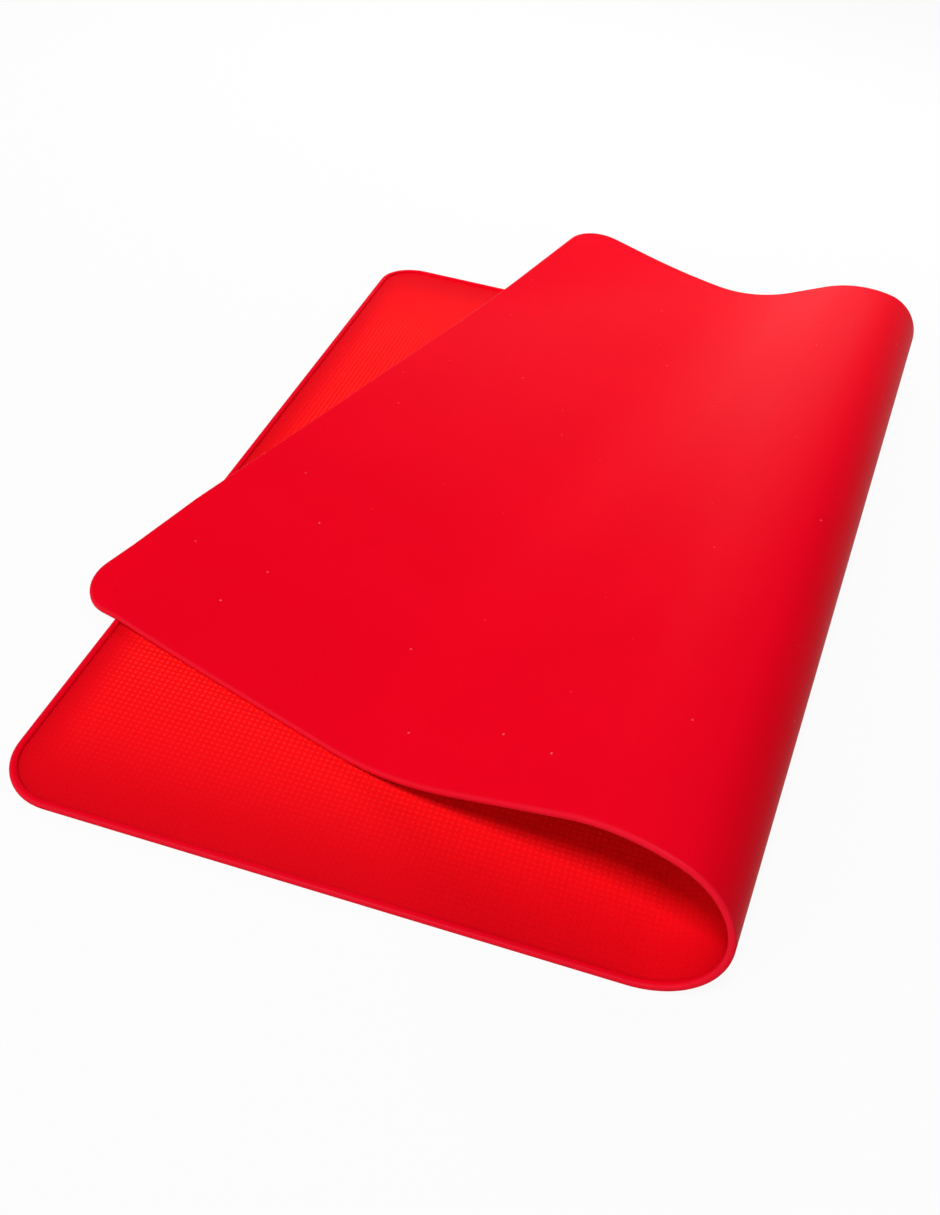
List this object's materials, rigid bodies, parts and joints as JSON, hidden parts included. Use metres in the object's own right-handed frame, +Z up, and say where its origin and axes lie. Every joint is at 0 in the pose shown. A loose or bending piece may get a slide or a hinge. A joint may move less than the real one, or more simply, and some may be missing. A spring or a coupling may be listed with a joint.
{
  "type": "silicone baking mat",
  "caption": "Thin flexible silicone baking mat with rounded corners and a low rim round a fine dot grid, folded over on itself in a loose loop. It unfolds flat to line a baking tray.",
  "frame": {"origin": "under the middle of the folded mat's box, on the surface that the lower leaf lies on", "axes": "+Z up; +Y along the lower leaf's straight side edges, away from the viewer; +X towards the loop of the fold"},
  "size_m": [0.2308, 0.3462, 0.0348],
  "materials": {
    "silicone": "satin"
  },
  "bodies": {
    "lower_leaf": {"lower_leaf": "silicone"},
    "fold_strip_1": {"fold_strip_1": "silicone"},
    "fold_strip_2": {"fold_strip_2": "silicone"},
    "fold_strip_3": {"fold_strip_3": "silicone"},
    "fold_strip_4": {"fold_strip_4": "silicone"},
    "fold_strip_5": {"fold_strip_5": "silicone"},
    "fold_strip_6": {"fold_strip_6": "silicone"},
    "fold_strip_7": {"fold_strip_7": "silicone"},
    "fold_strip_8": {"fold_strip_8": "silicone"},
    "fold_strip_9": {"fold_strip_9": "silicone"},
    "fold_strip_10": {"fold_strip_10": "silicone"},
    "crown_strip_1": {"crown_strip_1": "silicone"},
    "crown_strip_2": {"crown_strip_2": "silicone"},
    "ramp_panel": {"ramp_panel": "silicone"},
    "saddle_strip_1": {"saddle_strip_1": "silicone"},
    "saddle_strip_2": {"saddle_strip_2": "silicone"},
    "upper_leaf": {"upper_leaf": "silicone"},
    "corner_flap": {"corner_flap": "silicone"}
  },
  "joints": [
    {"name": "fold_bend_1", "type": "hinge", "parent": "lower_leaf", "child": "fold_strip_1", "pos_m": [0.05051, -0.17307, 0], "axis": [0.1683, 0.9857, 0], "range_deg": [0, 17.55]},
    {"name": "fold_bend_2", "type": "hinge", "parent": "fold_strip_1", "child": "fold_strip_2", "pos_m": [0.05566, -0.17303, 0.0016], "axis": [0.1666, 0.986, -0.0005], "range_deg": [0, 17.55]},
    {"name": "fold_bend_3", "type": "hinge", "parent": "fold_strip_2", "child": "fold_strip_3", "pos_m": [0.06011, -0.17286, 0.00467], "axis": [0.1652, 0.9863, -0.0016], "range_deg": [0, 17.55]},
    {"name": "fold_bend_4", "type": "hinge", "parent": "fold_strip_3", "child": "fold_strip_4", "pos_m": [0.06345, -0.17251, 0.0089], "axis": [0.1641, 0.9864, -0.003], "range_deg": [0, 17.55]},
    {"name": "fold_bend_5", "type": "hinge", "parent": "fold_strip_4", "child": "fold_strip_5", "pos_m": [0.06537, -0.17193, 0.01391], "axis": [0.1635, 0.9865, -0.0047], "range_deg": [0, 17.55]},
    {"name": "fold_bend_6", "type": "hinge", "parent": "fold_strip_5", "child": "fold_strip_6", "pos_m": [0.06573, -0.17108, 0.01923], "axis": [0.1635, 0.9865, -0.0064], "range_deg": [0, 17.55]},
    {"name": "fold_bend_7", "type": "hinge", "parent": "fold_strip_6", "child": "fold_strip_7", "pos_m": [0.06449, -0.16997, 0.02436], "axis": [0.1639, 0.9864, -0.0082], "range_deg": [0, 17.55]},
    {"name": "fold_bend_8", "type": "hinge", "parent": "fold_strip_7", "child": "fold_strip_8", "pos_m": [0.06178, -0.16862, 0.02884], "axis": [0.1649, 0.9863, -0.0097], "range_deg": [0, 17.55]},
    {"name": "fold_bend_9", "type": "hinge", "parent": "fold_strip_8", "child": "fold_strip_9", "pos_m": [0.05788, -0.16708, 0.03223], "axis": [0.1662, 0.986, -0.0108], "range_deg": [0, 17.55]},
    {"name": "fold_bend_10", "type": "hinge", "parent": "fold_strip_9", "child": "fold_strip_10", "pos_m": [0.05314, -0.16541, 0.03423], "axis": [0.1679, 0.9857, -0.0115], "range_deg": [0, 17.55]},
    {"name": "crown_bend_1", "type": "hinge", "parent": "fold_strip_10", "child": "crown_strip_1", "pos_m": [0.04634, -0.16313, 0.03478], "axis": [0.1687, 0.9856, -0.0116], "range_deg": [0, 11.5]},
    {"name": "crown_bend_2", "type": "hinge", "parent": "crown_strip_1", "child": "crown_strip_2", "pos_m": [0.03786, -0.16031, 0.03369], "axis": [0.1687, 0.9856, -0.0116], "range_deg": [0, 11.5]},
    {"name": "crown_bend_3", "type": "hinge", "parent": "crown_strip_2", "child": "ramp_panel", "pos_m": [0.02977, -0.15757, 0.03085], "axis": [0.1687, 0.9856, -0.0116], "range_deg": [0, 11.5]},
    {"name": "saddle_bend_1", "type": "hinge", "parent": "ramp_panel", "child": "saddle_strip_1", "pos_m": [-0.00397, -0.14571, 0.01046], "axis": [-0.2168, -0.9761, -0.0167], "range_deg": [0, 10]},
    {"name": "saddle_bend_2", "type": "hinge", "parent": "saddle_strip_1", "child": "saddle_strip_2", "pos_m": [-0.01585, -0.14169, 0.00595], "axis": [-0.2244, -0.9743, -0.0195], "range_deg": [0, 10]},
    {"name": "unfold", "type": "hinge", "parent": "saddle_strip_2", "child": "upper_leaf", "pos_m": [-0.02833, -0.13757, 0.00368], "axis": [-0.2323, -0.9724, -0.021], "range_deg": [0, 10]},
    {"name": "corner_curl", "type": "hinge", "parent": "upper_leaf", "child": "corner_flap", "pos_m": [-0.05303, 0.0964, 0.00842], "axis": [-0.751, -0.6601, -0.0164], "range_deg": [0, 7.8]}
  ],
  "couplings": [
    {"joint": "fold_bend_1", "follows": "unfold", "ratio": 1.7543},
    {"joint": "fold_bend_2", "follows": "unfold", "ratio": 1.7543},
    {"joint": "fold_bend_3", "follows": "unfold", "ratio": 1.7543},
    {"joint": "fold_bend_4", "follows": "unfold", "ratio": 1.7543},
    {"joint": "fold_bend_5", "follows": "unfold", "ratio": 1.7543},
    {"joint": "fold_bend_6", "follows": "unfold", "ratio": 1.7543},
    {"joint": "fold_bend_7", "follows": "unfold", "ratio": 1.7543},
    {"joint": "fold_bend_8", "follows": "unfold", "ratio": 1.7543},
    {"joint": "fold_bend_9", "follows": "unfold", "ratio": 1.7543},
    {"joint": "fold_bend_10", "follows": "unfold", "ratio": 1.7543},
    {"joint": "crown_bend_1", "follows": "unfold", "ratio": 1.1498},
    {"joint": "crown_bend_2", "follows": "unfold", "ratio": 1.1498},
    {"joint": "crown_bend_3", "follows": "unfold", "ratio": 1.1498},
    {"joint": "saddle_bend_1", "follows": "unfold", "ratio": 1},
    {"joint": "saddle_bend_2", "follows": "unfold", "ratio": 1},
    {"joint": "corner_curl", "follows": "unfold", "ratio": 0.77987}
  ]
}
